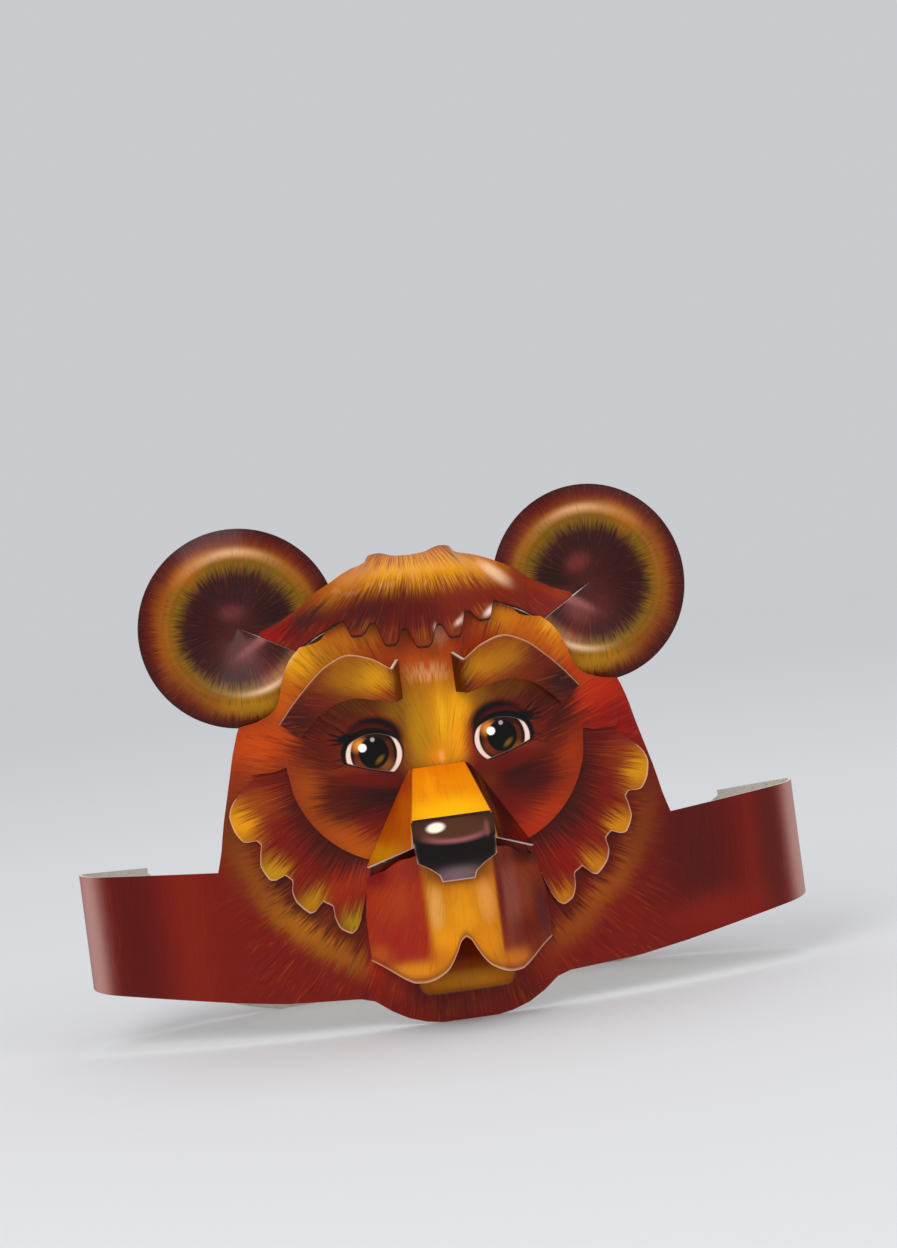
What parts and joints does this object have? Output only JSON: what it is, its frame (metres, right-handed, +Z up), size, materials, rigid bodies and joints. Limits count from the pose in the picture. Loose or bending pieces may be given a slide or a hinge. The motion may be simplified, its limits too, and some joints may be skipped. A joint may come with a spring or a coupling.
{
  "type": "folded card animal mask",
  "caption": "Folded card bear mask: a face with ears, hair, brows, cheek fur and a raised muzzle on a head loop that it wears like a crown.",
  "frame": {"origin": "on the floor, under the middle of the mask's box", "axes": "+X across the mask from its right ear to its left ear as worn seen from the front left to right, -Y the front where the muzzle points, +Z up"},
  "size_m": [0.267, 0.1094, 0.1847],
  "materials": {
    "face_card": "printed gloss, unprinted back",
    "band_card": "printed gloss, unprinted back",
    "hair_card": "printed gloss, unprinted back",
    "ear_card": "printed gloss, unprinted back",
    "brow_card": "printed gloss, unprinted back",
    "fur_card": "printed gloss, unprinted back",
    "snout_card": "printed gloss, unprinted back",
    "nose_card": "printed gloss, unprinted back",
    "lip_card": "printed gloss, unprinted back",
    "mouth_card": "printed gloss, unprinted back"
  },
  "bodies": {
    "root": {"face_band": "face_card", "back_strap": "band_card", "crown": "hair_card", "ear_left": "ear_card", "ear_right": "ear_card", "brow_left": "brow_card", "brow_right": "brow_card", "ruff_left": "fur_card", "ruff_right": "fur_card", "snout_bridge": "snout_card", "nose": "nose_card", "upper_lip": "lip_card", "lower_lip": "mouth_card"}
  },
  "joints": []
}
